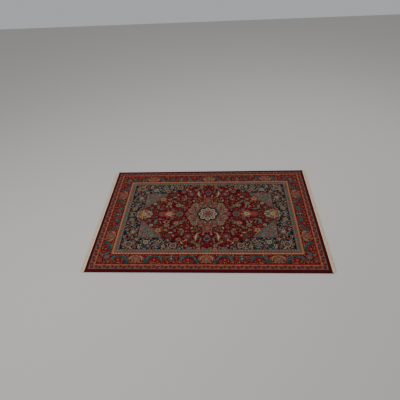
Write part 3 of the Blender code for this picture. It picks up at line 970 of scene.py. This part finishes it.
def make_pile(chart):
    """One knotted piece for each zone of the pile, which takes its outline from the frame."""
    draw = np.random.default_rng(21)
    corners = knot_corners(chart, draw)
    colours = mirrored(chart.colour)
    colours = colours * draw.normal(1.0, 0.10, colours.shape[:2]).clip(0.7, 1.35)[..., None]
    x = (corners[0, :-1, 0] + corners[0, 1:, 0]) / 2
    y = (corners[:-1, 0, 1] + corners[1:, 0, 1]) / 2
    nodes = list(pile_nodes())
    owner = np.full(colours.shape[:2], -1)
    for number, (node, _) in enumerate(nodes):
        owner[footprint(node, x, y)] = number
    while (owner < 0).any():
        owner = np.where(owner < 0, np.roll(owner, 1, axis=1), owner)
    wool = pile_wool("pile_wool")
    pile = []
    for number, (node, zone) in enumerate(nodes):
        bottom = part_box(node)[0].z
        piece = sheet_solid(
            f"{node}_knots", owner == number, corners, bottom, wool,
            colours, WOOL["brown"],
        )
        pile.append(finish_piece(piece, node))
    return pile, colours


def finish_piece(piece, node, body="rug"):
    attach(piece, body)
    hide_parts(node)
    return piece


# ---------------------------------------------------------------- ground, sides and ends


def make_ground(colours):
    """The woven ground. Its underside shows the back of every second knot, in rows along the weft."""
    low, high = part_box("ground_cloth")
    backs = colours[::2, ::2] * 0.75 + np.array(WOOL["cream"]) * 0.10
    rows, columns = backs.shape[:2]
    px, py = np.meshgrid(np.linspace(low.x, high.x, columns + 1), np.linspace(low.y, high.y, rows + 1))
    draw = np.random.default_rng(22)
    pz = low.z + draw.uniform(0, BACK_UNEVENNESS, px.shape)
    material, tree, shader = shader_of("knot_backs", 0.9, 0.05)
    yarn = tree.nodes.new("ShaderNodeAttribute")
    yarn.attribute_name = "yarn"
    ribs = tree.nodes.new("ShaderNodeTexWave")
    ribs.inputs["Scale"].default_value = 1 / (KNOT * math.tau) * math.pi
    tree.links.new(place_node(tree, (1.0, 1.0, 1.0)), ribs.inputs["Vector"])
    grain = noise_node(tree, (1.0, 1.0, 1.0), 600.0, 0.8, 1.2)
    tree.links.new(shade_node(tree, yarn.outputs["Color"], grain), shader.inputs["Base Color"])
    bump_node(tree, shader, ribs.outputs["Fac"], 0.5, 0.0006)
    ground = sheet_solid(
        "ground_weave", np.ones((rows, columns), bool), np.stack([px, py, pz], axis=-1), high.z,
        material, backs, WOOL["cream"], up=False,
    )
    return finish_piece(ground, "ground_cloth")


def ridged_bar(name, node, radius, ridge, pitch, starts, step, sides, material):
    """A bar along X with helical ridges, as a cord has that is twisted or wrapped, with rounded ends."""
    low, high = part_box(node)
    middle = (low + high) / 2
    count = round((high.x - low.x) / step) + 1
    x = np.linspace(low.x, high.x, count)[:, None]
    angle = (np.arange(sides) / sides * math.tau)[None, :]
    ends = np.minimum(x - low.x, high.x - x) / radius
    rounded = np.sqrt(np.clip(1 - (1 - np.clip(ends, 0, 1)) ** 2, 0.04, 1))
    ridges = ridge * np.abs(np.cos((math.tau * x / pitch - angle) * starts / 2))
    reach = (radius - ridge + ridges) * rounded
    rings = np.stack(
        [
            np.broadcast_to(x, reach.shape),
            middle.y + reach * np.cos(angle),
            middle.z + reach * np.sin(angle),
        ],
        axis=-1,
    )
    number = np.arange(count * sides).reshape(count, sides)
    here, onward = number[:-1], number[1:]
    quads = np.stack([here, np.roll(here, -1, 1), np.roll(onward, -1, 1), onward], axis=-1)
    faces = [quads.reshape(-1, 4), [number[0, ::-1], number[-1]]]
    return add_piece(name, rings.reshape(-1, 3), faces, material)


def make_sides():
    """The overcast yarn wound over the side cords, and the plied cords inside it."""
    wool = plain_yarn("overcast_wool", (0.052, 0.006, 0.007), (0.2, 1.0, 1.0))
    cotton = plain_yarn("core_cotton", (0.45, 0.40, 0.32), (0.2, 1.0, 1.0))
    pieces = []
    for side in SIDE_SIGNS:
        sleeve, core = f"side_overcast_{side}", f"side_cord_{side}"
        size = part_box(sleeve)[1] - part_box(sleeve)[0]
        yarn = ridged_bar(
            f"{sleeve}_yarn", sleeve, size.z / 2, WRAP_RIDGE, WRAP_PITCH, 1, WRAP_PITCH / 4, 14, wool,
        )
        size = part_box(core)[1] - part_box(core)[0]
        plies = ridged_bar(
            f"{core}_plies", core, size.z / 2, 0.0006, CORE_PLY_PITCH, 3, 0.002, 12, cotton,
        )
        pieces += [finish_piece(yarn, sleeve), finish_piece(plies, core)]
    return pieces


def make_ends(cotton):
    """The flat-woven band at each end, and the twisted locking stitch that holds the last knots."""
    pieces = []
    draw = np.random.default_rng(23)
    for end in END_SIGNS:
        band = f"end_band_{end}"
        low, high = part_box(band)
        rows = round((high.y - low.y) / WEAVE_ROW)
        px, py = np.meshgrid(
            np.linspace(low.x, high.x, WEAVE_COLUMNS + 1), np.linspace(low.y, high.y, rows + 1)
        )
        over = np.indices(px.shape).sum(axis=0) % 2
        pz = high.z - WEAVE_RELIEF * over + draw.uniform(-0.0001, 0.0001, px.shape)
        weave = sheet_solid(
            f"{band}_weave", np.ones((rows, WEAVE_COLUMNS), bool), np.stack([px, py, pz], axis=-1),
            low.z, cotton,
        )
        stitch = f"end_stitch_{end}"
        low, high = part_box(stitch)
        middle, radius = (low + high) / 2, (high.z - low.z) / 2
        y = np.arange(low.y + radius, high.y - radius, STITCH_TWIST / 7)
        paths = []
        for strand in (0, math.pi):
            phase = math.tau * y / STITCH_TWIST + strand
            x = middle.x + 0.5 * radius * np.cos(phase)
            paths.append(np.stack([x, y, middle.z + 0.4 * radius * np.sin(phase)], axis=-1))
        paths = np.array(paths)
        vertices, faces = sweep(paths, np.full(paths.shape[:2], 0.52 * radius), 6)
        twist = add_piece(f"{stitch}_twist", vertices, faces, cotton)
        pieces += [finish_piece(weave, band), finish_piece(twist, stitch)]
    return pieces


# ---------------------------------------------------------------- fringe


def tassel_yarns(middles, start, knot, tip, draw):
    """Paths of the yarns of a group's tassels, in distance from the pile, across and up.

    They leave the end band side by side, draw together in the knot and spread again to the tip.
    """
    count = len(middles)
    share = np.linspace(0, 1, YARN_POINTS) ** 1.3
    reach = start + share * (tip - start)
    reach = reach + draw.normal(0, 0.0016, (count, YARNS, 1)) * share
    fan = np.tile(np.linspace(-1, 1, YARNS // 2), 2) + np.repeat((0.0, 0.22), YARNS // 2)
    layer = np.repeat((0.0, 1.0), YARNS // 2)
    before = smooth((reach - start) / (knot - start))
    after = smooth((reach - knot) / (tip - knot) * 1.4)
    spread = 0.0052 * (1 - before) + 0.0013 * before + 0.0050 * after
    sway = draw.normal(0, 0.0011, (count, 1, 1)) + draw.normal(0, 0.0007, (count, YARNS, 1))
    wave = 0.0004 * np.sin(reach * 300 + draw.uniform(0, math.tau, (count, YARNS, 1)))
    across = middles[:, None, None] + fan[None, :, None] * spread + sway * after + wave * after
    lift = layer[None, :, None] * 0.0014
    height = 0.0014 * (1 - before) + TASSEL_KNOT_HEIGHT * before
    height = height * (1 - after) + (YARN_RADIUS + 0.0001 + lift) * after
    height = height + np.abs(draw.normal(0, 0.0003, (count, YARNS, 1))) * after
    return reach, across, height


def make_fringes(cotton):
    """The knotted tassels, a group for each hinge, knotted near the hinge and reaching out to the group's
    tip.
    """
    draw = np.random.default_rng(24)
    pieces = []
    for joint in frame["joints"]:
        body = joint["child"]
        end, _, number = body.split("_")
        node = f"fringe_{end}_{number}"
        low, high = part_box(node)
        sign = END_SIGNS[end]
        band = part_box(f"end_band_{end}")
        band_end = max(sign * band[0].x, sign * band[1].x)
        tip = max(sign * low.x, sign * high.x)
        knot = sign * joint["pos_m"][0] + 0.0040
        pitch = (high.y - low.y) / (TASSELS - 0.38)
        middles = (low.y + high.y) / 2 + (np.arange(TASSELS) - (TASSELS - 1) / 2) * pitch
        reach, across, height = tassel_yarns(middles, band_end - 0.0015, knot, tip - 0.0015, draw)
        paths = np.stack([sign * reach, across, height], axis=-1).reshape(-1, YARN_POINTS, 3)
        taper = np.interp(np.linspace(0, 1, YARN_POINTS), (0, 0.9, 1), (1.0, 1.0, 0.55))
        vertices, faces = sweep(paths, np.tile(YARN_RADIUS * taper, (len(paths), 1)))

        turn = np.linspace(0, KNOT_TURNS * math.tau, 24)
        wraps = np.stack(
            np.broadcast_arrays(
                sign * (knot - TASSEL_KNOT_WIDTH / 2 + TASSEL_KNOT_WIDTH * turn / turn[-1]),
                middles[:, None] + 0.0019 * np.cos(turn),
                TASSEL_KNOT_HEIGHT + 0.0014 * np.sin(turn),
            ),
            axis=-1,
        )
        wrap_vertices, wrap_faces = sweep(wraps, np.full(wraps.shape[:2], 0.0009))
        offset = len(vertices)
        faces = faces + [group + offset for group in wrap_faces]
        piece = add_piece(
            f"{node}_tassels", np.vstack([vertices, wrap_vertices]), faces, cotton
        )
        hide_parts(node)
        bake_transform(piece)
        pieces.append(piece)
    return pieces


# ---------------------------------------------------------------- studio


def make_studio():
    """A plain pale floor, soft light from above and one side, and the camera."""
    mesh = bpy.data.meshes.new("floor")
    mesh.from_pydata([(-9, -9, 0), (9, -9, 0), (9, 9, 0), (-9, 9, 0)], [], [(0, 1, 2, 3)])
    floor = bpy.data.objects.new("floor", mesh)
    floor.location.z = -0.0004
    material = bpy.data.materials.new("floor")
    material.use_nodes = True
    shader = material.node_tree.nodes["Principled BSDF"]
    shader.inputs["Base Color"].default_value = (0.56, 0.54, 0.51, 1.0)
    shader.inputs["Roughness"].default_value = 0.8
    mesh.materials.append(material)
    bpy.context.scene.collection.objects.link(floor)

    world = bpy.data.worlds.new("studio")
    world.use_nodes = True
    world.node_tree.nodes["Background"].inputs["Color"].default_value = (0.95, 0.97, 1.0, 1.0)
    world.node_tree.nodes["Background"].inputs["Strength"].default_value = 0.45
    bpy.context.scene.world = world

    for name, place, size, power in [
        ("key", (-2.2, -1.6, 4.8), 3.0, 130),
        ("fill", (2.6, 1.8, 4.8), 3.0, 70),
    ]:
        data = bpy.data.lights.new(name, "AREA")
        data.size = size
        data.energy = power
        light = bpy.data.objects.new(name, data)
        light.location = place
        light.rotation_euler = (-Vector(place)).to_track_quat("-Z", "Y").to_euler()
        bpy.context.scene.collection.objects.link(light)

    data = bpy.data.cameras.new("camera")
    data.lens = CAMERA_LENS
    camera = bpy.data.objects.new("camera", data)
    camera.location = CAMERA_PLACE
    camera.rotation_euler = CAMERA_TURN
    bpy.context.scene.collection.objects.link(camera)
    bpy.context.scene.camera = camera


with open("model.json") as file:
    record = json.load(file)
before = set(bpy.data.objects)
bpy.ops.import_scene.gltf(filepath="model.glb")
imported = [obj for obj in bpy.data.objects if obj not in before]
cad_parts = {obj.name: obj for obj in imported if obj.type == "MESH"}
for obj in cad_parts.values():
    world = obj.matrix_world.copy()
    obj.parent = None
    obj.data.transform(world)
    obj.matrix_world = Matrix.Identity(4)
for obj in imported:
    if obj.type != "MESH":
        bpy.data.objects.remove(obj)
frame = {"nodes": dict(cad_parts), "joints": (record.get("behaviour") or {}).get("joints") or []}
for leftover in ("Cube", "Light", "Camera"):
    if leftover in bpy.data.objects:
        bpy.data.objects.remove(bpy.data.objects[leftover])
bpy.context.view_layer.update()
make_studio()

pile_low, pile_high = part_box("ground_cloth")
rug_chart = make_chart(pile_high.x, pile_high.y, zones_of_quarter)
pile, knot_colours = make_pile(rug_chart)
ground = make_ground(knot_colours)
fringe_cotton = plain_yarn("fringe_cotton", (0.76, 0.60, 0.42), (0.15, 1.0, 1.0), sheen=0.15)
trimmings = make_sides() + make_ends(fringe_cotton) + make_fringes(fringe_cotton)
